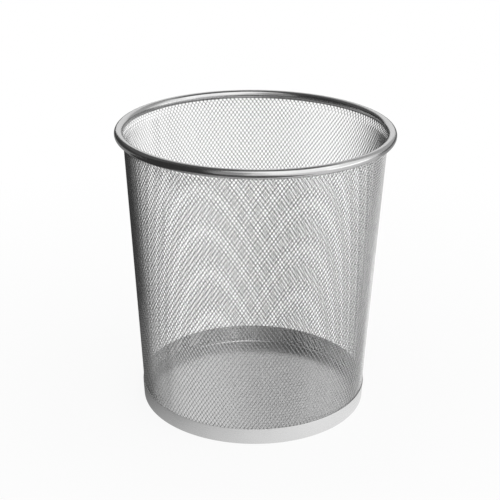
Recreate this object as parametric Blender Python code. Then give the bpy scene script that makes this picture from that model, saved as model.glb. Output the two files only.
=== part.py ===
"""Metal mesh wastebasket: a rolled rim, a tapered mesh wall, a base band and a floor pan.

Everything is in metres with +Z up. The origin is on the floor, under the middle of the foot.
The four pieces are turned about the Z axis, as sheet steel is rolled and spun on the real one.
"""

import math

import bmesh
import bpy

# Overall sizes
HEIGHT = 0.310
RIM_DIAMETER = 0.295
FOOT_DIAMETER = 0.2461

# Rolled rim tube, with the slot underneath that grips the mesh
TUBE_DIAMETER = 0.0095
TUBE_SHEET = 0.0006
SLOT_SET_IN = 0.0022

# Mesh wall: its depth over the raised strands, its flared top row and its lapped seam
MESH_DEPTH = 0.0015
MESH_ENTRY = 0.0028
FLARE_OUT = 0.00315
FLARE_HEIGHT = 0.0070
LAP_WIDTH = 0.0090
LAP_DEPTH = 0.0008
LAP_AZIMUTH = math.radians(143)

# Plain grid of openings through the wall, each standing for many small diamonds of the mesh
OPENINGS_ROUND = 24
OPENINGS_HIGH = 8
RING_HEIGHT = 0.0075
RING_MARGIN = 0.0020

# Base band, with its lower edge turned in as a ledge
BAND_HEIGHT = 0.0185
BAND_SHEET = 0.0005
BAND_BEND = 0.0008
LEDGE_WIDTH = 0.0050

# Floor pan, with a pressed step that drops its middle through the ledge
FLOOR_SHEET = 0.0006
STEP_RUN = 0.0010

# Gap left between pieces that touch on the real one
FIT = 0.0003

# How finely round shapes are cut
SEGMENTS = 80
OPENING_STEPS = 2
TUBE_STEPS = 20
BORE_STEPS = 10
FLARE_STEPS = 6
BEND_STEPS = 3
SHARP_ANGLE = math.radians(35)
WELD = 5e-6

# Lengths that follow from the sizes above
TUBE_RADIUS = TUBE_DIAMETER / 2
HOOP_RADIUS = RIM_DIAMETER / 2 - TUBE_RADIUS
HOOP_HEIGHT = HEIGHT - TUBE_RADIUS
SLOT_RADIUS = HOOP_RADIUS - SLOT_SET_IN
FLARE_TOP = HOOP_HEIGHT - TUBE_RADIUS
NECK_HEIGHT = FLARE_TOP - FLARE_HEIGHT
NECK_RADIUS = SLOT_RADIUS - FLARE_OUT
FOOT_RADIUS = FOOT_DIAMETER / 2 - BAND_SHEET - FIT - MESH_DEPTH / 2
LEDGE_INSIDE = FOOT_DIAMETER / 2 - LEDGE_WIDTH
FLOOR_UNDERSIDE = BAND_SHEET + FIT
FLOOR_TOP = FLOOR_UNDERSIDE + FLOOR_SHEET
WALL_BOTTOM = BAND_SHEET + BAND_BEND
LAP_BOTTOM = FLOOR_TOP + FIT
BAR_ANGLE = LAP_WIDTH / NECK_RADIUS
BAR_PITCH = 2 * math.pi / OPENINGS_ROUND
OPEN_BOTTOM = BAND_HEIGHT + RING_MARGIN
OPEN_TOP = NECK_HEIGHT - RING_MARGIN
ROW_PITCH = (OPEN_TOP - OPEN_BOTTOM + RING_HEIGHT) / OPENINGS_HIGH


def clear_scene():
    for obj in list(bpy.data.objects):
        bpy.data.objects.remove(obj, do_unlink=True)


def steel(name, colour, roughness):
    material = bpy.data.materials.new(name)
    material.use_nodes = True
    shader = material.node_tree.nodes["Principled BSDF"]
    shader.inputs["Base Color"].default_value = (*colour, 1.0)
    shader.inputs["Metallic"].default_value = 1.0
    shader.inputs["Roughness"].default_value = roughness
    return material


def wall_radius(height):
    """Radius of the middle of the mesh: a straight cone up to the neck, then a smooth flare."""
    if height <= NECK_HEIGHT:
        return FOOT_RADIUS + (NECK_RADIUS - FOOT_RADIUS) * height / NECK_HEIGHT
    share = min((height - NECK_HEIGHT) / FLARE_HEIGHT, 1.0)
    return NECK_RADIUS + FLARE_OUT * share * share * (3 - 2 * share)


def arc(centre, radius, start, end, steps):
    """Points round a centre in the (radius, height) plane. The angles run from straight down, outwards."""
    points = []
    for step in range(steps + 1):
        angle = start + (end - start) * step / steps
        points.append((centre[0] + radius * math.sin(angle), centre[1] - radius * math.cos(angle)))
    return points


def turned(outline, sweeps, start=0.0, closed=True):
    """Spins an outline of (radius, height) points about Z. Each sweep is an angle and its steps."""
    bm = bmesh.new()
    cos_start = math.cos(start)
    sin_start = math.sin(start)
    verts = [bm.verts.new((r * cos_start, r * sin_start, z)) for r, z in outline]
    edges = [bm.edges.new(pair) for pair in zip(verts, verts[1:])]
    if closed:
        edges.append(bm.edges.new((verts[-1], verts[0])))
    ring = verts + edges
    for angle, steps in sweeps:
        swept = bmesh.ops.spin(
            bm, geom=ring, cent=(0, 0, 0), axis=(0, 0, 1), dvec=(0, 0, 0), angle=angle, steps=steps
        )
        ring = swept["geom_last"]
    bmesh.ops.remove_doubles(bm, verts=bm.verts, dist=WELD)
    bmesh.ops.recalc_face_normals(bm, faces=bm.faces)
    return bm


def placed(name, bm, material, parent, height=0.0):
    """Makes an object of the mesh, shaded smooth, with its own origin at the given height."""
    mesh = bpy.data.meshes.new(name)
    bm.to_mesh(mesh)
    bm.free()
    mesh.shade_smooth()
    mesh.set_sharp_from_angle(angle=SHARP_ANGLE)
    mesh.materials.append(material)
    obj = bpy.data.objects.new(name, mesh)
    obj.location = (0, 0, height)
    obj.parent = parent
    bpy.context.scene.collection.objects.link(obj)
    return obj


def rim_hoop(parent):
    """A rolled tube bent into a hoop. Its seam stays open underneath, where the mesh goes in."""
    half_slot = MESH_DEPTH / 2 + FIT
    bore = TUBE_RADIUS - TUBE_SHEET
    outer_lip = math.asin((half_slot - SLOT_SET_IN) / TUBE_RADIUS)
    inner_lip = -math.asin((half_slot + SLOT_SET_IN) / bore) + 2 * math.pi
    centre = (HOOP_RADIUS, 0.0)
    outline = arc(centre, TUBE_RADIUS, outer_lip, inner_lip, TUBE_STEPS)
    outline += arc(centre, bore, inner_lip, outer_lip, BORE_STEPS)
    bm = turned(outline, [(2 * math.pi, SEGMENTS)])
    return placed("rim_hoop", bm, steel("satin_rim_steel", (0.62, 0.62, 0.62), 0.22), parent, HOOP_HEIGHT)


def wall_line(offset, top):
    """One face of the mesh wall from its foot to its top edge, set off from the middle by offset."""
    heights = [WALL_BOTTOM, LAP_BOTTOM]
    for row in range(OPENINGS_HIGH):
        sill = OPEN_BOTTOM + row * ROW_PITCH
        heights += [sill, sill + ROW_PITCH - RING_HEIGHT]
    heights += [NECK_HEIGHT + FLARE_HEIGHT * step / FLARE_STEPS for step in range(FLARE_STEPS + 1)]
    heights.append(top)
    return [(wall_radius(height) + offset, height) for height in heights]


def in_opening(point):
    """Whether a point of the wall lies in one of its openings, and so off the bars and the rings."""
    turn = (math.atan2(point.y, point.x) - LAP_AZIMUTH) % BAR_PITCH
    climb = (point.z - OPEN_BOTTOM) % ROW_PITCH
    between_bars = BAR_ANGLE / 2 < turn < BAR_PITCH - BAR_ANGLE / 2
    between_rings = OPEN_BOTTOM < point.z < OPEN_TOP and climb < ROW_PITCH - RING_HEIGHT
    return between_bars and between_rings


def on_lap(point):
    """Whether a point lies on the inner face of the bar where the sheet laps."""
    turn = math.atan2(point.y, point.x) - LAP_AZIMUTH
    inside = math.hypot(point.x, point.y) < wall_radius(point.z) - MESH_DEPTH / 4
    return inside and LAP_BOTTOM < point.z < NECK_HEIGHT and abs(turn) < BAR_ANGLE / 4


def push_in(extruded, depth):
    """Moves the vertices of an extruded region towards the axis by depth."""
    for vert in (item for item in extruded["geom"] if isinstance(item, bmesh.types.BMVert)):
        radius = math.hypot(vert.co.x, vert.co.y)
        vert.co.x *= 1 - depth / radius
        vert.co.y *= 1 - depth / radius


def mesh_wall(parent):
    """The mesh as a tapered tube of upright bars and rings. The bar where the sheet laps is thicker."""
    top = HOOP_HEIGHT - math.sqrt(TUBE_RADIUS**2 - SLOT_SET_IN**2) + MESH_ENTRY
    sweeps = [(BAR_ANGLE, 1), (BAR_PITCH - BAR_ANGLE, OPENING_STEPS)] * OPENINGS_ROUND
    bm = turned(wall_line(MESH_DEPTH / 2, top), sweeps, LAP_AZIMUTH - BAR_ANGLE / 2, closed=False)
    opened = [face for face in bm.faces if in_opening(face.calc_center_median())]
    bmesh.ops.delete(bm, geom=opened, context="FACES")
    push_in(bmesh.ops.extrude_face_region(bm, geom=bm.faces[:], use_keep_orig=True), MESH_DEPTH)
    lap_faces = [face for face in bm.faces if on_lap(face.calc_center_median())]
    lap = bmesh.ops.extrude_face_region(bm, geom=lap_faces)
    bmesh.ops.delete(bm, geom=lap_faces, context="FACES_ONLY")
    push_in(lap, LAP_DEPTH)
    bmesh.ops.recalc_face_normals(bm, faces=bm.faces)
    return placed("mesh_wall", bm, steel("plated_mesh_steel", (0.55, 0.55, 0.55), 0.35), parent)


def base_band(parent):
    """A strip round the foot of the mesh. Its lower edge bends in and ends as a flat ledge."""
    offset = MESH_DEPTH / 2 + FIT
    bend_inside = (wall_radius(WALL_BOTTOM) + offset - BAND_BEND, BAND_SHEET + BAND_BEND)
    bend_outside = BAND_BEND + BAND_SHEET
    outline = [(LEDGE_INSIDE, 0.0)]
    outline += arc(bend_inside, bend_outside, 0.0, math.pi / 2, BEND_STEPS)
    outline.append((wall_radius(BAND_HEIGHT) + offset + BAND_SHEET, BAND_HEIGHT))
    outline.append((wall_radius(BAND_HEIGHT) + offset, BAND_HEIGHT))
    outline += arc(bend_inside, BAND_BEND, math.pi / 2, 0.0, BEND_STEPS)
    outline.append((LEDGE_INSIDE, BAND_SHEET))
    bm = turned(outline, [(2 * math.pi, SEGMENTS)])
    return placed("base_band", bm, steel("satin_band_steel", (0.66, 0.66, 0.66), 0.30), parent)


def floor_pan(parent):
    """A disc whose edge lies on the ledge and whose middle is pressed down through it."""
    edge = wall_radius(FLOOR_UNDERSIDE) - MESH_DEPTH / 2 - FIT
    shoulder = LEDGE_INSIDE - FIT
    outline = [
        (0.0, 0.0),
        (shoulder - STEP_RUN, 0.0),
        (shoulder, FLOOR_UNDERSIDE),
        (edge, FLOOR_UNDERSIDE),
        (edge, FLOOR_TOP),
        (shoulder - FLOOR_SHEET / 2, FLOOR_TOP),
        (shoulder - STEP_RUN - FLOOR_SHEET / 2, FLOOR_SHEET),
        (0.0, FLOOR_SHEET),
    ]
    bm = turned(outline, [(2 * math.pi, SEGMENTS)], closed=False)
    return placed("floor_pan", bm, steel("bright_floor_steel", (0.60, 0.60, 0.60), 0.25), parent)


def main():
    clear_scene()
    basket = bpy.data.objects.new("wastebasket", None)
    bpy.context.scene.collection.objects.link(basket)
    rim_hoop(basket)
    mesh_wall(basket)
    base_band(basket)
    floor_pan(basket)


main()
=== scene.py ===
"""Dressed model of a metal mesh wastebasket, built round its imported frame.

The wall is raised expanded steel, rolled to a taper and lapped along one upright seam. Its flared
top row goes up into the slot of a rolled rim. Its foot stands in a steel band, whose lower edge is
turned in as a ledge, and a floor pan lies on that ledge with its middle pressed down through it.
Lengths are in metres, +Z is up, and the origin is on the floor under the middle of the foot.
"""

import logging
import math
from dataclasses import dataclass, field
from enum import Enum

import bpy
import numpy as np
from mathutils import Matrix, Quaternion, Vector


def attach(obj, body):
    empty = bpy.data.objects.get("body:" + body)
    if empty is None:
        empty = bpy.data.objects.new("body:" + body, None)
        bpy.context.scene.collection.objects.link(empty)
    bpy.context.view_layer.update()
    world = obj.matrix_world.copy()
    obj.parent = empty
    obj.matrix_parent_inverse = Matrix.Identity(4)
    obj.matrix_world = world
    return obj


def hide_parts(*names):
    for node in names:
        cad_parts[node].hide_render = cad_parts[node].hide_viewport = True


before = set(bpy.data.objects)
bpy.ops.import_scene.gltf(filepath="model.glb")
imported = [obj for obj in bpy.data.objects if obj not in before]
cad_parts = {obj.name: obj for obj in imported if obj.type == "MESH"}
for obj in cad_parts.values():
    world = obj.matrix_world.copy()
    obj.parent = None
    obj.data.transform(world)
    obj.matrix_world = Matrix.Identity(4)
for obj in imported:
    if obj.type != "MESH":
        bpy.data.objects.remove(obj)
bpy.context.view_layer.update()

LOG = logging.getLogger("wastebasket")
BODY = "root"
MM = 0.001
FULL_TURN = 2 * math.pi


class Slot(Enum):
    """The record's material slots."""

    RIM = "rim_steel"
    MESH = "mesh_steel"
    BAND = "band_steel"
    FLOOR = "floor_steel"


class GrainRun(Enum):
    """Which way the fine lines of a rolled or drawn surface run."""

    ALONG_UV = "along the piece's own length map"
    ACROSS_SHEET = "straight across the flat sheet"
    EVERY_WAY = "no lines, only a mottle"


def linear(colour: str) -> tuple[float, float, float, float]:
    """Turns an sRGB hex colour into a linear one.

    Formula: each channel c becomes c / 12.92 below 0.04045 and ((c + 0.055) / 1.055) ** 2.4 above it.

    Args:
        colour: Six hex digits after a hash.

    Returns:
        Linear red, green, blue and an alpha of 1.
    """
    channels = [int(colour[i : i + 2], 16) / 255 for i in (1, 3, 5)]
    red, green, blue = (c / 12.92 if c <= 0.04045 else ((c + 0.055) / 1.055) ** 2.4 for c in channels)
    return red, green, blue, 1.0


def add_node(
    tree: bpy.types.NodeTree, kind: str, sockets: dict | None = None, **settings: object
) -> bpy.types.Node:
    """Adds one node, with its settings, its fixed values and the links into it.

    Args:
        tree: The node tree of a material, lamp or world.
        kind: Blender's name for the kind of node.
        sockets: A value or an output socket for each input that isn't left at its default.
        settings: Properties of the node itself.

    Returns:
        The new node.
    """
    node = tree.nodes.new(kind)
    for name, value in settings.items():
        setattr(node, name, value)
    for socket, value in (sockets or {}).items():
        if isinstance(value, bpy.types.NodeSocket):
            tree.links.new(value, node.inputs[socket])
        else:
            node.inputs[socket].default_value = value
    return node


def lay_mesh(name: str, points: np.ndarray, faces: list[np.ndarray]) -> bpy.types.Mesh:
    """Puts whole arrays of points and faces into a new mesh.

    Args:
        name: Name of the mesh.
        points: One row of x, y, z for each vertex.
        faces: Arrays of vertex numbers, one row a face. Each array has faces of one size.

    Returns:
        The mesh, with its faces in the order given.
    """
    corners = np.concatenate([rows.ravel() for rows in faces])
    sizes = np.concatenate([np.full(len(rows), rows.shape[1]) for rows in faces])
    starts = np.cumsum(sizes) - sizes
    mesh = bpy.data.meshes.new(name)
    mesh.vertices.add(len(points))
    mesh.vertices.foreach_set("co", points.astype(np.float32).ravel())
    mesh.loops.add(len(corners))
    mesh.loops.foreach_set("vertex_index", corners.astype(np.int32))
    mesh.polygons.add(len(sizes))
    mesh.polygons.foreach_set("loop_start", starts.astype(np.int32))
    mesh.update(calc_edges=True)
    return mesh


def arc(centre: tuple[float, float], radius: float, start: float, end: float, steps: int) -> np.ndarray:
    """Points of a round bend in an outline.

    Formula: radius = centre radius + bend * sin(angle), height = centre height - bend * cos(angle),
    so the angle starts straight down and turns outwards.

    Args:
        centre: The bend's centre, as radius and height.
        radius: The bend's own radius.
        start: First angle.
        end: Last angle.
        steps: Number of straight steps between them.

    Returns:
        One row of radius and height for each point.
    """
    angle = np.linspace(start, end, steps + 1)
    return np.stack([centre[0] + radius * np.sin(angle), centre[1] - radius * np.cos(angle)], axis=1)


@dataclass(frozen=True)
class TurnedForm:
    """An outline carried once round the Z axis, as a rolled or spun piece is formed."""

    outline: np.ndarray
    segments: int
    start: float
    closed: bool = True

    def points(self) -> np.ndarray:
        """Every vertex of the form.

        Formula: x = radius * cos(azimuth), y = radius * sin(azimuth), z = height.

        Returns:
            One row of x, y, z for each vertex, outline by outline round the axis.
        """
        azimuth = self.start + np.arange(self.segments) * FULL_TURN / self.segments
        radius = self.outline[None, :, 0]
        grid = np.empty((self.segments, len(self.outline), 3))
        grid[:, :, 0] = radius * np.cos(azimuth)[:, None]
        grid[:, :, 1] = radius * np.sin(azimuth)[:, None]
        grid[:, :, 2] = self.outline[None, :, 1]
        return grid.reshape(-1, 3)

    def faces(self) -> np.ndarray:
        """Faces between neighbouring azimuths and neighbouring outline points.

        Returns:
            Four vertex numbers a row, turning so that each face points out of the sheet.
        """
        count = len(self.outline)
        turn = np.arange(self.segments)[:, None]
        step = np.arange(count if self.closed else count - 1)[None, :]
        after_turn = (turn + 1) % self.segments
        after_step = (step + 1) % count
        quads = [turn * count + step, after_turn * count + step]
        quads += [after_turn * count + after_step, turn * count + after_step]
        return np.stack(quads, axis=-1).reshape(-1, 4)

    def length_map(self) -> np.ndarray:
        """A map of the surface in metres, which the fine lines of a finish follow.

        Formula: u = the greatest radius * azimuth, v = the length along the outline.

        Returns:
            One row of u and v in metres for each corner of each face.
        """
        ring = np.vstack([self.outline, self.outline[:1]]) if self.closed else self.outline
        along = np.concatenate([[0.0], np.cumsum(np.linalg.norm(np.diff(ring, axis=0), axis=1))])
        around = np.arange(self.segments + 1) * FULL_TURN / self.segments * self.outline[:, 0].max()
        turn, step = np.meshgrid(np.arange(self.segments), np.arange(len(ring) - 1), indexing="ij")
        u = np.stack([around[turn], around[turn + 1], around[turn + 1], around[turn]], axis=-1)
        v = np.stack([along[step], along[step], along[step + 1], along[step + 1]], axis=-1)
        return np.stack([u, v], axis=-1).reshape(-1, 2)


@dataclass(frozen=True)
class SteelFinish:
    """A steel surface: its colour, its gloss, and the fine lines and clouds that break its gloss.

    The middle range is the part of grain + cloud, each from 0 to 1, over which the roughness swings.
    """

    name: str
    colour: str
    roughness: float
    roughness_swing: float
    tint_swing: float
    grain_run: GrainRun
    grain_length: float
    grain_width: float
    grain_depth: float
    cloud_size: float
    middle_range: tuple[float, float] = (0.6, 1.4)

    def pattern_vector(self, tree: bpy.types.NodeTree) -> bpy.types.NodeSocket:
        """Coordinates in which one unit is one grain.

        Formula: the piece's own coordinates divided by the grain's length, width and width.

        Args:
            tree: The material's node tree.

        Returns:
            The output socket that the grain pattern reads.
        """
        coordinates = add_node(tree, "ShaderNodeTexCoord")
        source = coordinates.outputs["UV" if self.grain_run is GrainRun.ALONG_UV else "Object"]
        scale = (1 / self.grain_length, 1 / self.grain_width, 1 / self.grain_width)
        mapping = add_node(tree, "ShaderNodeMapping", {"Vector": source, "Scale": scale})
        return mapping.outputs["Vector"]

    def build(self) -> bpy.types.Material:
        """Makes the material.

        Formula: roughness = its own value + its swing * (grain + cloud - 1) / half the middle range, held
        within that swing, colour = base * (1 - tint swing * cloud), and bump height = depth * grain.

        Returns:
            A material whose nodes read only the piece's own coordinates.
        """
        material = bpy.data.materials.new(self.name)
        material.use_nodes = True
        tree = material.node_tree
        shader = tree.nodes["Principled BSDF"]
        grain = add_node(
            tree,
            "ShaderNodeTexNoise",
            {"Vector": self.pattern_vector(tree), "Scale": 1.0, "Detail": 3.0, "Roughness": 0.6},
        ).outputs["Fac"]
        coordinates = add_node(tree, "ShaderNodeTexCoord")
        cloud = add_node(
            tree,
            "ShaderNodeTexNoise",
            {"Vector": coordinates.outputs["Object"], "Scale": 1 / self.cloud_size, "Detail": 4.0},
        ).outputs["Fac"]
        both = add_node(tree, "ShaderNodeMath", {0: grain, 1: cloud}, operation="ADD")
        rough = add_node(
            tree,
            "ShaderNodeMapRange",
            {
                "Value": both.outputs["Value"],
                "From Min": self.middle_range[0],
                "From Max": self.middle_range[1],
                "To Min": self.roughness - self.roughness_swing,
                "To Max": self.roughness + self.roughness_swing,
            },
        )
        red, green, blue, alpha = linear(self.colour)
        dim = 1 - self.tint_swing
        # A mix node takes its two colours in inputs 6 and 7, and gives its colour in output 2
        tint = add_node(
            tree,
            "ShaderNodeMix",
            {0: cloud, 6: (red, green, blue, alpha), 7: (red * dim, green * dim, blue * dim, alpha)},
            data_type="RGBA",
        )
        bump = add_node(
            tree, "ShaderNodeBump", {"Height": grain, "Distance": self.grain_depth, "Strength": 1.0}
        )
        shader.inputs["Metallic"].default_value = 1.0
        tree.links.new(tint.outputs[2], shader.inputs["Base Color"])
        tree.links.new(rough.outputs["Result"], shader.inputs["Roughness"])
        tree.links.new(bump.outputs["Normal"], shader.inputs["Normal"])
        return material


@dataclass(frozen=True)
class WallLine:
    """The middle of the mesh wall, as a radius at every height."""

    foot_radius: float = 121.5 * MM
    neck_radius: float = 137.4 * MM
    neck_height: float = 293.5 * MM
    flare_out: float = 3.15 * MM
    flare_height: float = 7.0 * MM

    def radius(self, height: np.ndarray) -> np.ndarray:
        """A straight cone up to the neck, then a smooth flare.

        Formula: cone = foot + (neck - foot) * height / neck height, and above the neck
        flare = out * share ** 2 * (3 - 2 * share), where share runs from 0 to 1 over the flare.

        Args:
            height: Heights above the floor.

        Returns:
            The radius at each height.
        """
        cone = self.foot_radius + (self.neck_radius - self.foot_radius) * (
            np.minimum(height, self.neck_height) / self.neck_height
        )
        share = np.clip((height - self.neck_height) / self.flare_height, 0.0, 1.0)
        return cone + self.flare_out * share**2 * (3 - 2 * share)


@dataclass(frozen=True)
class ColumnDrift:
    """How far the columns of diamonds stand from even spacing, because the sheet was opened unevenly.

    Each pair holds a drift at the middle height and what it gains for every reach above that.
    """

    middle: float = 200.0 * MM
    reach: float = 100.0 * MM
    slide: tuple[float, float] = (-0.10, 0.04)
    once_cosine: tuple[float, float] = (0.11, 0.19)
    once_sine: tuple[float, float] = (-0.54, 0.09)
    twice_cosine: tuple[float, float] = (-0.05, 0.0)
    twice_sine: tuple[float, float] = (-0.10, 0.0)

    def diamonds(self, azimuth: np.ndarray, height: np.ndarray) -> np.ndarray:
        """The drift round the wall, in diamonds.

        Formula: drift = slide + once * cos(azimuth) + once * sin(azimuth) + twice * cos(2 azimuth)
        + twice * sin(2 azimuth), each factor with its gain times (height - middle) / reach.

        Args:
            azimuth: Evenly spaced azimuths.
            height: Heights above the floor, in an array that goes with them.

        Returns:
            The drift at each.
        """
        rise = (height - self.middle) / self.reach
        waves = (
            (self.slide, np.ones_like(azimuth)),
            (self.once_cosine, np.cos(azimuth)),
            (self.once_sine, np.sin(azimuth)),
            (self.twice_cosine, np.cos(2 * azimuth)),
            (self.twice_sine, np.sin(2 * azimuth)),
        )
        return sum((size + gain * rise) * wave for (size, gain), wave in waves)


@dataclass(frozen=True)
class MeshLayer:
    """One thickness of the sheet: its cut edges, and where it lies against the wall's own pattern."""

    bottom: float
    top: float
    inset: float = 0.0
    aside: float = 0.0
    raised: float = 0.0


@dataclass
class ExpandedWall:
    """The wall of raised expanded steel, in upright panels, with the lapped seam inside it."""

    line: WallLine
    finish: SteelFinish
    sheared_finish: SteelFinish
    drift: ColumnDrift = ColumnDrift()
    diamonds_round: int = 190
    strand_length: float = 3.832 * MM
    strand_width: float = 0.64 * MM
    strand_sheet: float = 0.50 * MM
    lean: float = math.radians(-45)
    knuckle: float = 1.0 * MM
    wall: MeshLayer = MeshLayer(bottom=1.3 * MM, top=303.84 * MM)
    lap: MeshLayer = MeshLayer(bottom=1.7 * MM, top=293.5 * MM, inset=0.8 * MM, aside=0.54, raised=0.15)
    column_turn: float = 0.0
    row_start: float = -0.98
    panels: int = 4
    lap_azimuth: float = math.radians(145)
    lap_strands: int = 5
    overrun: float = 10 * MM
    height_steps: int = 6000
    pieces: list[bpy.types.Object] = field(default_factory=list)

    def strand_line(self, layer: MeshLayer) -> tuple[np.ndarray, np.ndarray]:
        """Follows one strand up the wall, from knuckle to knuckle.

        Formula: a half row takes sqrt(strand length ** 2 - (pitch / 2) ** 2) of the slant height, where
        the pitch is the girth over the number of diamonds. Knuckles lie where the half rows counted
        from the foot reach a whole number, and the strand swings to the other side at each.

        Args:
            layer: The layer, whose raise is in half rows.

        Returns:
            Heights along the strand, and its swing to the side at each, from -1 to 1.
        """
        height = np.linspace(-self.overrun, layer.top + self.overrun, self.height_steps + 1)
        radius = self.line.radius(height)
        half_pitch = math.pi * radius / self.diamonds_round
        slant = np.sqrt(1 + np.gradient(radius, height) ** 2)
        rate = slant / np.sqrt(self.strand_length**2 - half_pitch**2)
        steps = (rate[1:] + rate[:-1]) / 2 * np.diff(height)
        half_rows = np.concatenate([[0.0], np.cumsum(steps)])
        half_rows += self.row_start - layer.raised - np.interp(0.0, height, half_rows)
        whole = np.arange(math.ceil(half_rows[0]), math.floor(half_rows[-1]) + 1)
        knuckles = np.interp(whole, half_rows, height)
        ends = (knuckles[:, None] + np.array([-0.5, 0.5]) * self.knuckle).ravel()
        swing = np.repeat(np.where(whole % 2 == 0, 1.0, -1.0), 2)
        inside = (ends > layer.bottom) & (ends < layer.top)
        heights = np.concatenate([[layer.bottom], ends[inside], [layer.top]])
        return heights, np.interp(heights, ends, swing)

    def column_azimuth(self, place: np.ndarray, heights: np.ndarray) -> np.ndarray:
        """Azimuth of a place counted in strands: place * half turn / diamonds, moved by the drift."""
        even = self.column_turn + place * math.pi / self.diamonds_round
        return even + self.drift.diamonds(even, heights) * FULL_TURN / self.diamonds_round

    def strand_points(
        self, number: np.ndarray, heights: np.ndarray, sway: np.ndarray, layer: MeshLayer
    ) -> np.ndarray:
        """Four corners of every strand's section at every height.

        Formula: the strand leans about the upright, so its width points along cos(lean) round the wall
        and sin(lean) outwards, and its sheet thickness at right angles to that. It swings halfway to
        its neighbour less half its own width, and in depth by half its width, so that the two meet
        edge to edge at a knuckle.

        Args:
            number: Strand numbers, counted round the wall.
            heights: Heights of the sections.
            sway: Swing of each strand at each height, from -1 to 1.
            layer: The layer, whose inset is inwards from the wall's middle and aside is in strands.

        Returns:
            Points with the shape strands, heights, 4 corners, 3.
        """
        cos_lean = math.cos(self.lean)
        sin_lean = math.sin(self.lean)
        radius = self.line.radius(heights) - layer.inset
        across = -sway * self.strand_width * cos_lean / 2
        outward = -sway * self.strand_width * sin_lean / 2
        along_width = np.array([-0.5, 0.5, 0.5, -0.5]) * self.strand_width
        along_sheet = np.array([-0.5, -0.5, 0.5, 0.5]) * self.strand_sheet
        round_wall = across[..., None] + along_width * cos_lean - along_sheet * sin_lean
        out_of_wall = outward[..., None] + along_width * sin_lean + along_sheet * cos_lean
        middle = self.column_azimuth(number[:, None] + sway / 2 + layer.aside, heights[None, :])
        azimuth = middle[..., None] + round_wall / radius[None, :, None]
        reach = radius[None, :, None] + out_of_wall
        upright = np.broadcast_to(heights[None, :, None], reach.shape)
        return np.stack([reach * np.cos(azimuth), reach * np.sin(azimuth), upright], axis=-1)

    def joined_strands(
        self, first: int, count: int, layer: MeshLayer
    ) -> tuple[np.ndarray, np.ndarray, np.ndarray]:
        """A closed sheet of strands that share their corners at the knuckles.

        Formula: the sides of a section go round it as skin, sheared, skin and sheared. Between two
        heights each side of a section makes a face, apart from the two sides that meet inside a
        knuckle, and the corners that meet there are made one. Both cut ends are closed.

        Args:
            first: Number of the first strand.
            count: How many strands.
            layer: The layer that they are part of.

        Returns:
            Points, four-sided faces, and for each face 1 where the slitting knife sheared it and 0 where
            it is the sheet's own skin.
        """
        heights, swing = self.strand_line(layer)
        number = first + np.arange(count)
        sway = swing[None, :] * np.where(number % 2 == 0, 1.0, -1.0)[:, None]
        points = self.strand_points(number, heights, sway, layer).reshape(-1, 3)
        corner = np.arange(count * len(heights) * 4).reshape(count, len(heights), 4)
        met = np.isclose(sway[:-1], 1.0)
        corner[1:, :, 0] = np.where(met, corner[:-1, :, 1], corner[1:, :, 0])
        corner[1:, :, 3] = np.where(met, corner[:-1, :, 2], corner[1:, :, 3])
        low = corner[:, :-1]
        high = corner[:, 1:]
        sides = np.stack([low, high, np.roll(high, -1, axis=2), np.roll(low, -1, axis=2)], axis=-1)
        shown = np.ones(sides.shape[:3], dtype=bool)
        in_knuckle = np.isclose(swing[1:], swing[:-1])
        shown[:-1, :, 1] = ~(in_knuckle & np.isclose(sway[:-1, 1:], 1.0))
        shown[1:, :, 3] = ~(in_knuckle & np.isclose(sway[1:, 1:], -1.0))
        faces = np.concatenate([sides[shown], corner[:, 0], corner[:, -1, ::-1]])
        sheared = np.broadcast_to(np.arange(4) % 2, sides.shape[:3])[shown]
        sheared = np.concatenate([sheared, np.ones(2 * count, dtype=sheared.dtype)])
        used, packed = np.unique(faces, return_inverse=True)
        return points[used], packed.reshape(faces.shape), sheared

    def add_piece(
        self, name: str, first: int, count: int, layer: MeshLayer, finishes: list[bpy.types.Material]
    ) -> None:
        """Makes some strands of a layer a piece, with each strand's faces flat and crisp.

        Args:
            name: Name of the piece.
            first: Number of the first strand.
            count: How many strands.
            layer: The layer that they are part of.
            finishes: The material of the sheet's own skin, and that of the sheared faces.
        """
        points, faces, sheared = self.joined_strands(first, count, layer)
        mesh = lay_mesh(name, points, [faces])
        mesh.shade_flat()
        for finish in finishes:
            mesh.materials.append(finish)
        mesh.polygons.foreach_set("material_index", sheared.astype(np.int32))
        self.pieces.append(placed(name, mesh, "mesh_wall"))

    def build(self) -> list[bpy.types.Object]:
        """Makes the panels all round, and the second layer of strands where the sheet laps.

        Returns:
            The finished pieces.
        """
        finishes = [self.finish.build(), self.sheared_finish.build()]
        strands = 2 * self.diamonds_round // self.panels
        lap_first = round((self.lap_azimuth - self.column_turn) * self.diamonds_round / math.pi)
        lap_first -= self.lap_strands // 2
        for panel in range(self.panels):
            name = f"mesh_panel_{panel + 1}"
            self.add_piece(name, lap_first + panel * strands, strands, self.wall, finishes)
        self.add_piece("mesh_lap", lap_first, self.lap_strands, self.lap, finishes)
        return self.pieces


def placed(name: str, mesh: bpy.types.Mesh, node: str) -> bpy.types.Object:
    """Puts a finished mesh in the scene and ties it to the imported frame.

    Args:
        name: Name of the piece.
        mesh: Its mesh, already in place.
        node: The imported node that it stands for.

    Returns:
        The piece.
    """
    piece = bpy.data.objects.new(name, mesh)
    bpy.context.scene.collection.objects.link(piece)
    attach(piece, BODY)
    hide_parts(node)
    return piece


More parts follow.
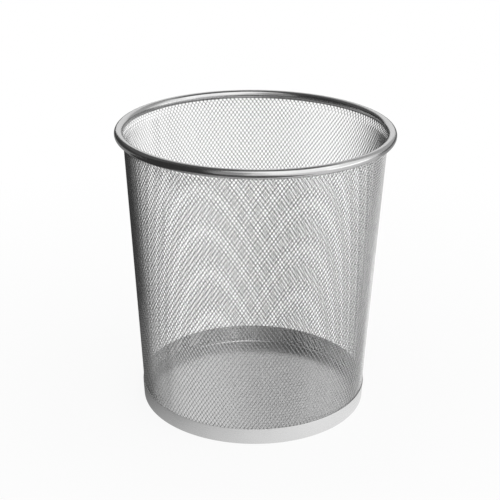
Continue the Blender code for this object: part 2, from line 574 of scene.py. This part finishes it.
def turned_piece(
    name: str, form: TurnedForm, finish: SteelFinish, node: str, sharp_angle: float
) -> bpy.types.Object:
    """Makes a turned form a piece, shaded smooth between its sharp edges.

    Args:
        name: Name of the piece.
        form: The outline carried round.
        finish: Its surface.
        node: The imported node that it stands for.
        sharp_angle: Edges that bend by more than this stay sharp.

    Returns:
        The piece.
    """
    mesh = lay_mesh(name, form.points(), [form.faces()])
    length_map = mesh.uv_layers.new(name="length_map")
    length_map.data.foreach_set("uv", form.length_map().astype(np.float32).ravel())
    mesh.shade_smooth()
    mesh.set_sharp_from_angle(angle=sharp_angle)
    mesh.materials.append(finish.build())
    return placed(name, mesh, node)


@dataclass
class RolledRim:
    """The rim: a tube rolled from strip and bent to a hoop, with its seam open underneath as a slot."""

    finish: SteelFinish
    rim_radius: float = 147.45 * MM
    top: float = 310.0 * MM
    tube_radius: float = 4.75 * MM
    sheet: float = 0.6 * MM
    slot_set_in: float = 2.2 * MM
    slot_half: float = 1.05 * MM
    segments: int = 360
    tube_steps: int = 48
    bore_steps: int = 24
    start: float = math.radians(143)
    sharp_angle: float = math.radians(35)

    def outline(self) -> np.ndarray:
        """The rolled strip's section.

        Formula: round the tube from its outer lip to its inner lip, then back along the bore, with both
        lips cut square. A lip stands where the slot's edge meets the tube, at asin(distance / radius).

        Returns:
            One row of radius and height for each point.
        """
        centre = (self.rim_radius - self.tube_radius, self.top - self.tube_radius)
        bore = self.tube_radius - self.sheet
        outer_lip = math.asin((self.slot_half - self.slot_set_in) / self.tube_radius)
        inner_lip = FULL_TURN - math.asin((self.slot_half + self.slot_set_in) / bore)
        outside = arc(centre, self.tube_radius, outer_lip, inner_lip, self.tube_steps)
        inside = arc(centre, bore, inner_lip, outer_lip, self.bore_steps)
        return np.vstack([outside, inside])

    def build(self) -> list[bpy.types.Object]:
        """Carries the section round the hoop, starting over the wall's seam."""
        form = TurnedForm(self.outline(), self.segments, self.start)
        return [turned_piece("rolled_rim", form, self.finish, "rim_hoop", self.sharp_angle)]


@dataclass
class FootBand:
    """The base band: a strip round the foot of the mesh, with its lower edge bent in as a ledge."""

    line: WallLine
    finish: SteelFinish
    height: float = 18.5 * MM
    sheet: float = 0.5 * MM
    bend: float = 0.8 * MM
    clearance: float = 1.05 * MM
    wall_bottom: float = 1.3 * MM
    ledge_inside: float = 118.05 * MM
    edge_round: float = 0.2 * MM
    segments: int = 360
    bend_steps: int = 6
    edge_steps: int = 3
    start: float = math.radians(143)
    sharp_angle: float = math.radians(35)

    def outline(self) -> np.ndarray:
        """The strip's section.

        Formula: out along the ledge, round the bend, up the outside, over the top edge and back down the
        inside, with both cut edges rounded by quarter turns.

        Returns:
            One row of radius and height for each point.
        """
        turn = math.pi / 2
        foot = float(self.line.radius(np.array(self.wall_bottom))) + self.clearance
        head = float(self.line.radius(np.array(self.height))) + self.clearance
        bend_centre = (foot - self.bend, self.sheet + self.bend)
        rounding = self.edge_round
        steps = self.edge_steps
        lip = self.height - rounding
        ledge = self.ledge_inside + rounding
        outside = arc(bend_centre, self.bend + self.sheet, 0.0, turn, self.bend_steps)
        inside = arc(bend_centre, self.bend, turn, 0.0, self.bend_steps)
        outer_edge = arc((head + self.sheet - rounding, lip), rounding, turn, 2 * turn, steps)
        inner_edge = arc((head + rounding, lip), rounding, 2 * turn, 3 * turn, steps)
        upper_edge = arc((ledge, self.sheet - rounding), rounding, 2 * turn, 3 * turn, steps)
        lower_edge = arc((ledge, rounding), rounding, 3 * turn, 4 * turn, steps)
        return np.vstack([outside, outer_edge, inner_edge, inside, upper_edge, lower_edge])

    def build(self) -> list[bpy.types.Object]:
        """Carries the section round the foot."""
        form = TurnedForm(self.outline(), self.segments, self.start)
        return [turned_piece("foot_band", form, self.finish, "base_band", self.sharp_angle)]


@dataclass
class PressedFloor:
    """The floor pan: a disc whose edge lies on the ledge and whose middle is pressed down through it."""

    line: WallLine
    finish: SteelFinish
    sheet: float = 0.6 * MM
    underside: float = 0.8 * MM
    shoulder: float = 117.75 * MM
    step_run: float = 1.0 * MM
    clearance: float = 1.05 * MM
    hub: float = 4.0 * MM
    segments: int = 360
    rings: int = 24
    sharp_angle: float = math.radians(30)

    def outline(self) -> np.ndarray:
        """The sheet's section.

        Formula: out along the underside, up the pressed step, round the edge and back in along the top,
        from a small hub radius that the middle faces close.

        Returns:
            One row of radius and height for each point.
        """
        edge = float(self.line.radius(np.array(self.underside))) - self.clearance
        foot = self.shoulder - self.step_run
        inner = np.linspace(self.hub, foot, self.rings)
        under = np.stack([inner, np.zeros_like(inner)], axis=1)
        rim = [
            (self.shoulder, self.underside),
            (edge, self.underside),
            (edge, self.underside + self.sheet),
            (self.shoulder - self.sheet / 2, self.underside + self.sheet),
        ]
        inner = np.linspace(foot - self.sheet / 2, self.hub, self.rings)
        over = np.stack([inner, np.full_like(inner, self.sheet)], axis=1)
        return np.vstack([under, np.array(rim), over])

    def build(self) -> list[bpy.types.Object]:
        """Carries the section round, and closes the middle with a small round face on each side.

        Returns:
            The finished piece.
        """
        form = TurnedForm(self.outline(), self.segments, 0.0, closed=False)
        count = len(form.outline)
        ring = np.arange(self.segments) * count
        faces = [form.faces(), ring[None, ::-1], ring[None] + count - 1]
        mesh = lay_mesh("pressed_floor", form.points(), faces)
        mesh.shade_smooth()
        mesh.set_sharp_from_angle(angle=self.sharp_angle)
        mesh.materials.append(self.finish.build())
        return [placed("pressed_floor", mesh, "floor_pan")]


def flat_plane(name: str, centre: Vector, across: Vector, up: Vector) -> bpy.types.Object:
    """Makes a one-faced plane of the studio.

    Args:
        name: Name of the plane.
        centre: Its middle.
        across: Half its width, as a vector.
        up: Half its height, as a vector.

    Returns:
        The plane, marked as part of the stage.
    """
    corners = [centre - across - up, centre + across - up, centre + across + up, centre - across + up]
    mesh = lay_mesh(name, np.array(corners), [np.array([[0, 1, 2, 3]])])
    plane = bpy.data.objects.new(name, mesh)
    bpy.context.scene.collection.objects.link(plane)
    return plane


def seen_directly(tree: bpy.types.NodeTree) -> bpy.types.NodeSocket:
    """Tells the rays that see a thing from the rays that light things.

    Args:
        tree: The node tree of a material or of the world.

    Returns:
        A socket with 1 for a camera ray or a mirrored or transmitted one, and 0 for any other.
    """
    path = add_node(tree, "ShaderNodeLightPath").outputs
    sockets = {0: path["Is Camera Ray"], 1: path["Is Glossy Ray"]}
    first = add_node(tree, "ShaderNodeMath", sockets, operation="MAXIMUM")
    sockets = {0: first.outputs[0], 1: path["Is Transmission Ray"]}
    return add_node(tree, "ShaderNodeMath", sockets, operation="MAXIMUM").outputs[0]


@dataclass(frozen=True)
class Fitting:
    """A flat fitting of the studio, square on to the basket, placed by the angles it is seen under.

    The bearing and the rise are where its middle stands, seen from the basket's middle, and the spans
    are how wide and how tall it looks from there, all in degrees. A level of 1 is the surroundings' white.
    """

    name: str
    bearing: float
    rise: float
    wide: float
    tall: float
    level: float
    reach: float = 2.4
    middle: float = 150 * MM

    def place(self) -> Vector:
        """Where the fitting's middle stands.

        Formula: reach * (cos bearing * cos rise, sin bearing * cos rise, sin rise), from the basket's
        middle.

        Returns:
            The place, in metres.
        """
        bearing = math.radians(self.bearing)
        rise = math.radians(self.rise)
        level_reach = self.reach * math.cos(rise)
        height = self.reach * math.sin(rise) + self.middle
        return Vector((level_reach * math.cos(bearing), level_reach * math.sin(bearing), height))

    def turn(self) -> Quaternion:
        """The turn that points the fitting's own -Z at the basket's middle, with its own Y upwards."""
        return (Vector((0, 0, self.middle)) - self.place()).to_track_quat("-Z", "Y")

    def half_sides(self) -> tuple[float, float]:
        """Formula: reach * tan(span / 2), for the width and for the height."""
        return tuple(self.reach * math.tan(math.radians(span) / 2) for span in (self.wide, self.tall))


@dataclass(frozen=True)
class Lamp(Fitting):
    """A soft rectangular lamp."""

    def build(self) -> None:
        """Makes the lamp.

        Formula: a lamp of level L sends out pi * L watts from each square metre of its face.
        """
        half_width, half_height = self.half_sides()
        light = bpy.data.lights.new(self.name, "AREA")
        light.shape = "RECTANGLE"
        light.size = 2 * half_width
        light.size_y = 2 * half_height
        light.energy = math.pi * self.level * light.size * light.size_y
        lamp = bpy.data.objects.new(self.name, light)
        lamp.location = self.place()
        lamp.rotation_mode = "QUATERNION"
        lamp.rotation_quaternion = self.turn()
        bpy.context.scene.collection.objects.link(lamp)


def dark_face(card: bpy.types.Object, level: float) -> None:
    """Gives a card or a patch of painted table shade its dim face, which glows evenly at its level, and lets
    only mirrored rays see it. On the table this face is painted shade, as the steel mirrors it.

    Args:
        card: The card, or the patch of painted table shade.
        level: How light it looks, where 1 is the surroundings' white.
    """
    material = bpy.data.materials.new(card.name)
    material.use_nodes = True
    tree = material.node_tree
    tree.nodes.remove(tree.nodes["Principled BSDF"])
    glow = add_node(tree, "ShaderNodeEmission", {"Color": (1.0, 1.0, 1.0, 1.0), "Strength": level})
    tree.links.new(glow.outputs["Emission"], tree.nodes["Material Output"].inputs["Surface"])
    card.data.materials.append(material)
    card.visible_camera = False
    card.visible_diffuse = False
    card.visible_shadow = False
    card.visible_transmission = False


@dataclass(frozen=True)
class Card(Fitting):
    """A dark card that only mirrored rays see, as a flag beside a studio's soft box."""

    def build(self) -> None:
        """Makes the card, square on to the basket."""
        half_width, half_height = self.half_sides()
        across = self.turn() @ Vector((half_width, 0, 0))
        up = self.turn() @ Vector((0, half_height, 0))
        dark_face(flat_plane(self.name, self.place(), across, up), self.level)


@dataclass(frozen=True)
class PaintedTableShade:
    """Painted shade on the table, seen only in the steel: a dark patch between two distances across it and
    two along it.
    """

    name: str
    left: float
    right: float
    front: float
    back: float
    level: float
    height: float = 1 * MM

    def build(self) -> None:
        """Makes the patch of painted shade, face up."""
        centre = Vector(((self.left + self.right) / 2, (self.front + self.back) / 2, self.height))
        across = Vector(((self.right - self.left) / 2, 0, 0))
        up = Vector((0, (self.back - self.front) / 2, 0))
        dark_face(flat_plane(self.name, centre, across, up), self.level)


@dataclass
class Studio:
    """The pale table, the white surroundings, the soft lamps, the dark cards and the patches of painted
    shade that the steel mirrors on the table.

    A lamp or card is given by its name, bearing, rise, width, height and level, and a patch of painted
    table shade by its name, its left, right, front and back edges and its level.
    """

    plain_level: float = 0.75
    table_half: float = 2.0
    table_height: float = -0.02 * MM
    table_colour: str = "#E9E9E9"
    table_whiteness: float = 0.9
    near_table: float = 0.2
    far_table: float = 0.8
    lit_bearing: float = 317.0
    mirrored_light: float = 1.0
    mirrored_dark: float = 0.05
    mirrored_middle: float = 120 * MM
    lamps: tuple[Lamp, ...] = (
        Lamp("front_right_lamp", 308, 25, 52, 34, 0.5),
        Lamp("right_lamp", 352, 34, 34, 40, 0.3),
        Lamp("top_right_lamp", 320, 62, 50, 34, 0.7),
        Lamp("right_low_lamp", 347, 4, 40, 16, 1.2),
    )
    cards: tuple[Card, ...] = (
        Card("left_card", 205, 25, 72, 66, 0.05),
        Card("back_left_low_card", 145, 7, 54, 30, 0.06),
        Card("back_left_high_card", 145, 37, 54, 38, 0.12),
        Card("front_left_card", 249, 24, 28, 50, 0.4),
        Card("back_right_low_card", 42, 2, 44, 14, 0.1),
        Card("back_low_card", 92, 2, 60, 14, 0.06),
        Card("back_right_card", 43, 30, 37, 44, 0.55),
        Card("back_high_card", 92, 50, 60, 20, 0.35),
        Card("top_left_card", 140, 72, 70, 40, 0.1),
        Card("top_back_card", 58, 74, 50, 30, 0.12),
    )
    # Painted shade of the table as the steel mirrors it: dark patches that only mirrored rays see, darkest
    # on the left, away from the lamps
    painted_table_shades: tuple[PaintedTableShade, ...] = (
        PaintedTableShade("left_painted_shade", -2.0, -0.3, -2.0, 0.3, 0.05),
        PaintedTableShade("back_painted_shade", -2.0, 0.3, 0.3, 2.0, 0.3),
        PaintedTableShade("back_right_painted_shade", 0.3, 2.0, 0.3, 2.0, 0.4),
        PaintedTableShade("front_painted_shade", -0.3, 0.3, -2.0, -0.25, 0.12),
    )

    def world(self) -> None:
        """Surroundings that are white where they are seen, and plain where they light."""
        world = bpy.data.worlds.new("white_surroundings")
        bpy.context.scene.world = world
        world.use_nodes = True
        tree = world.node_tree
        sockets = {"Value": seen_directly(tree), "To Min": self.plain_level, "To Max": 1.0}
        level = add_node(tree, "ShaderNodeMapRange", sockets)
        background = tree.nodes["Background"]
        background.inputs["Color"].default_value = (1.0, 1.0, 1.0, 1.0)
        tree.links.new(level.outputs["Result"], background.inputs["Strength"])

    def table(self) -> None:
        """A pale table top that stays near white to the eye and still takes a soft shadow."""
        plane = flat_plane(
            "table",
            Vector((0, 0, self.table_height)),
            Vector((self.table_half, 0, 0)),
            Vector((0, self.table_half, 0)),
        )
        material = bpy.data.materials.new("pale_table")
        material.use_nodes = True
        tree = material.node_tree
        tree.nodes.remove(tree.nodes["Principled BSDF"])
        place = add_node(tree, "ShaderNodeTexCoord").outputs["Object"]
        distance = add_node(tree, "ShaderNodeVectorMath", {0: place}, operation="LENGTH").outputs["Value"]
        glossy = add_node(tree, "ShaderNodeLightPath").outputs["Is Glossy Ray"]
        level = self.table_level(tree, place, distance, glossy)
        dull = add_node(tree, "ShaderNodeBsdfDiffuse", {"Color": linear(self.table_colour)})
        white = add_node(tree, "ShaderNodeEmission", {"Color": (1.0, 1.0, 1.0, 1.0), "Strength": level})
        sockets = {0: self.white_share(tree, distance, glossy), 1: dull.outputs[0], 2: white.outputs[0]}
        top = add_node(tree, "ShaderNodeMixShader", sockets)
        behind = add_node(tree, "ShaderNodeNewGeometry").outputs["Backfacing"]
        clear = add_node(tree, "ShaderNodeBsdfTransparent")
        sockets = {0: behind, 1: top.outputs["Shader"], 2: clear.outputs["BSDF"]}
        surface = add_node(tree, "ShaderNodeMixShader", sockets)
        tree.links.new(surface.outputs["Shader"], tree.nodes["Material Output"].inputs["Surface"])
        plane.data.materials.append(material)

    def table_level(
        self,
        tree: bpy.types.NodeTree,
        place: bpy.types.NodeSocket,
        distance: bpy.types.NodeSocket,
        glossy: bpy.types.NodeSocket,
    ) -> bpy.types.NodeSocket:
        """How light the table's white is.

        Formula: it is 1 to the eye. In the steel it goes evenly with the cosine of the bearing, from
        light on the lit side to dark on the shaded one, and evenly across the middle, under the foot:
        dark + (light - dark) * (1 + place / the larger of distance and middle, along the lit way) / 2.

        Args:
            tree: The table's node tree.
            place: Places on the table.
            distance: Their distances from the middle.
            glossy: 1 for a mirrored ray.

        Returns:
            The socket with the level.
        """
        sockets = {0: distance, 1: self.mirrored_middle}
        outside = add_node(tree, "ShaderNodeMath", sockets, operation="MAXIMUM")
        along = add_node(tree, "ShaderNodeVectorMath", {0: place, 1: outside.outputs[0]}, operation="DIVIDE")
        bearing = math.radians(self.lit_bearing)
        lit_way = Vector((math.cos(bearing), math.sin(bearing), 0))
        sockets = {0: along.outputs["Vector"], 1: lit_way}
        cosine = add_node(tree, "ShaderNodeVectorMath", sockets, operation="DOT_PRODUCT")
        sockets = {
            "Value": cosine.outputs["Value"],
            "From Min": -1.0,
            "From Max": 1.0,
            "To Min": self.mirrored_dark,
            "To Max": self.mirrored_light,
        }
        mirrored = add_node(tree, "ShaderNodeMapRange", sockets)
        sockets = {"Value": glossy, "To Min": 1.0, "To Max": mirrored.outputs["Result"]}
        return add_node(tree, "ShaderNodeMapRange", sockets).outputs["Result"]

    def white_share(
        self, tree: bpy.types.NodeTree, distance: bpy.types.NodeSocket, glossy: bpy.types.NodeSocket
    ) -> bpy.types.NodeSocket:
        """How much of the table is plain white, and not a surface that takes light and shadow.

        Formula: to the eye it rises evenly from its value near the object to 1 at the far distance, so
        that the table's edge doesn't show against the surroundings. To a mirrored ray it is 1, and to
        the rays that light things it is 0.

        Args:
            tree: The table's node tree.
            distance: Distances from the middle of the table.
            glossy: 1 for a mirrored ray.

        Returns:
            The socket with the share.
        """
        sockets = {
            "Value": distance,
            "From Min": self.near_table,
            "From Max": self.far_table,
            "To Min": self.table_whiteness,
            "To Max": 1.0,
        }
        whiteness = add_node(tree, "ShaderNodeMapRange", sockets)
        sockets = {0: seen_directly(tree), 1: whiteness.outputs["Result"]}
        to_the_eye = add_node(tree, "ShaderNodeMath", sockets, operation="MULTIPLY")
        sockets = {0: to_the_eye.outputs[0], 1: glossy}
        return add_node(tree, "ShaderNodeMath", sockets, operation="MAXIMUM").outputs[0]

    def build(self) -> None:
        """Makes the surroundings, the table, the lamps, the cards and the patches of painted table shade."""
        self.world()
        self.table()
        for fitting in (*self.lamps, *self.cards, *self.painted_table_shades):
            fitting.build()
        bpy.context.scene.view_settings.view_transform = "Standard"


@dataclass(frozen=True)
class Viewpoint:
    """The camera, where the object's own outline in the frame puts it."""

    place: tuple[float, float, float] = (0.0, -1.2478, 0.6841)
    turn: float = -0.0038
    tilt: float = 0.3911
    roll: float = 0.0081
    focal_pixels: float = 1240.84
    frame_pixels: float = 500.0
    sensor: float = 36.0
    near_clip: float = 0.05
    far_clip: float = 30.0

    def build(self) -> None:
        """Makes the camera.

        Formula: it looks along (sin turn * cos tilt, cos turn * cos tilt, -sin tilt), and its right and
        up are turned about that line by the roll. The focal length in the sensor's millimetres is its
        pixels * the sensor's width / the picture's pixels.
        """
        level_part = math.cos(self.tilt)
        ahead = Vector((math.sin(self.turn), math.cos(self.turn), 0)) * level_part
        ahead.z = -math.sin(self.tilt)
        level = Vector((math.cos(self.turn), -math.sin(self.turn), 0))
        upright = level.cross(ahead)
        right = math.cos(self.roll) * level + math.sin(self.roll) * upright
        above = -math.sin(self.roll) * level + math.cos(self.roll) * upright
        data = bpy.data.cameras.new("viewpoint")
        data.sensor_width = self.sensor
        data.lens = self.focal_pixels * self.sensor / self.frame_pixels
        data.clip_start = self.near_clip
        data.clip_end = self.far_clip
        camera = bpy.data.objects.new("viewpoint", data)
        turn = Matrix((right, above, -ahead)).transposed().to_4x4()
        camera.matrix_world = Matrix.Translation(self.place) @ turn
        bpy.context.scene.collection.objects.link(camera)
        bpy.context.scene.camera = camera


# The real lines from rolls and dies are finer than 0.1 mm, too fine to show, so the grain of the rim, the
# band and the floor is drawn several times coarser. The clouds and the plating's mottle have real sizes.

# Nickel-plated steel tube, rolled and drawn: a satin gloss with faint lines round the hoop
RIM_FINISH = SteelFinish(
    name="drawn_nickel_plated_steel",
    colour="#C6C6C6",
    roughness=0.19,
    roughness_swing=0.02,
    tint_swing=0.03,
    grain_run=GrainRun.ALONG_UV,
    grain_length=30 * MM,
    grain_width=0.5 * MM,
    grain_depth=0.0005 * MM,
    cloud_size=18 * MM,
)
# Zinc-plated expanded steel: each strand's skin is a dull mirror, with a slight mottle from the plating
MESH_FINISH = SteelFinish(
    name="plated_expanded_steel",
    colour="#CCCCCC",
    roughness=0.26,
    roughness_swing=0.06,
    tint_swing=0.06,
    grain_run=GrainRun.EVERY_WAY,
    grain_length=1.2 * MM,
    grain_width=1.2 * MM,
    grain_depth=0.01 * MM,
    cloud_size=9 * MM,
)
# The same strands where the slitting knife sheared and burnished them: a little brighter and glossier
SHEARED_FINISH = SteelFinish(
    name="sheared_plated_steel",
    colour="#D6D6D6",
    roughness=0.2,
    roughness_swing=0.06,
    tint_swing=0.06,
    grain_run=GrainRun.EVERY_WAY,
    grain_length=1.2 * MM,
    grain_width=0.6 * MM,
    grain_depth=0.01 * MM,
    cloud_size=9 * MM,
)
# Nickel-plated strip steel, cold rolled: satin, with faint lines round the band
BAND_FINISH = SteelFinish(
    name="rolled_nickel_plated_strip",
    colour="#E2E2E2",
    roughness=0.27,
    roughness_swing=0.04,
    tint_swing=0.05,
    grain_run=GrainRun.ALONG_UV,
    grain_length=40 * MM,
    grain_width=0.6 * MM,
    grain_depth=0.002 * MM,
    cloud_size=22 * MM,
)
# Bright cold-rolled sheet: a soft mirror, with faint straight lines from the rolls
FLOOR_FINISH = SteelFinish(
    name="cold_rolled_sheet_steel",
    colour="#D6D6D6",
    roughness=0.22,
    roughness_swing=0.04,
    tint_swing=0.06,
    grain_run=GrainRun.ACROSS_SHEET,
    grain_length=60 * MM,
    grain_width=0.8 * MM,
    grain_depth=0.002 * MM,
    cloud_size=30 * MM,
)


def main() -> None:
    """Builds the basket's pieces in the order that they go together, then the studio and the camera."""
    line = WallLine()
    assemblies = (
        FootBand(line, BAND_FINISH),
        PressedFloor(line, FLOOR_FINISH),
        ExpandedWall(line, MESH_FINISH, SHEARED_FINISH),
        RolledRim(RIM_FINISH),
    )
    for assembly in assemblies:
        for piece in assembly.build():
            LOG.info("%s: %d faces", piece.name, len(piece.data.polygons))
    Studio().build()
    Viewpoint().build()


if __name__ == "__main__":
    logging.basicConfig(level=logging.INFO, format="%(name)s %(message)s")
    main()
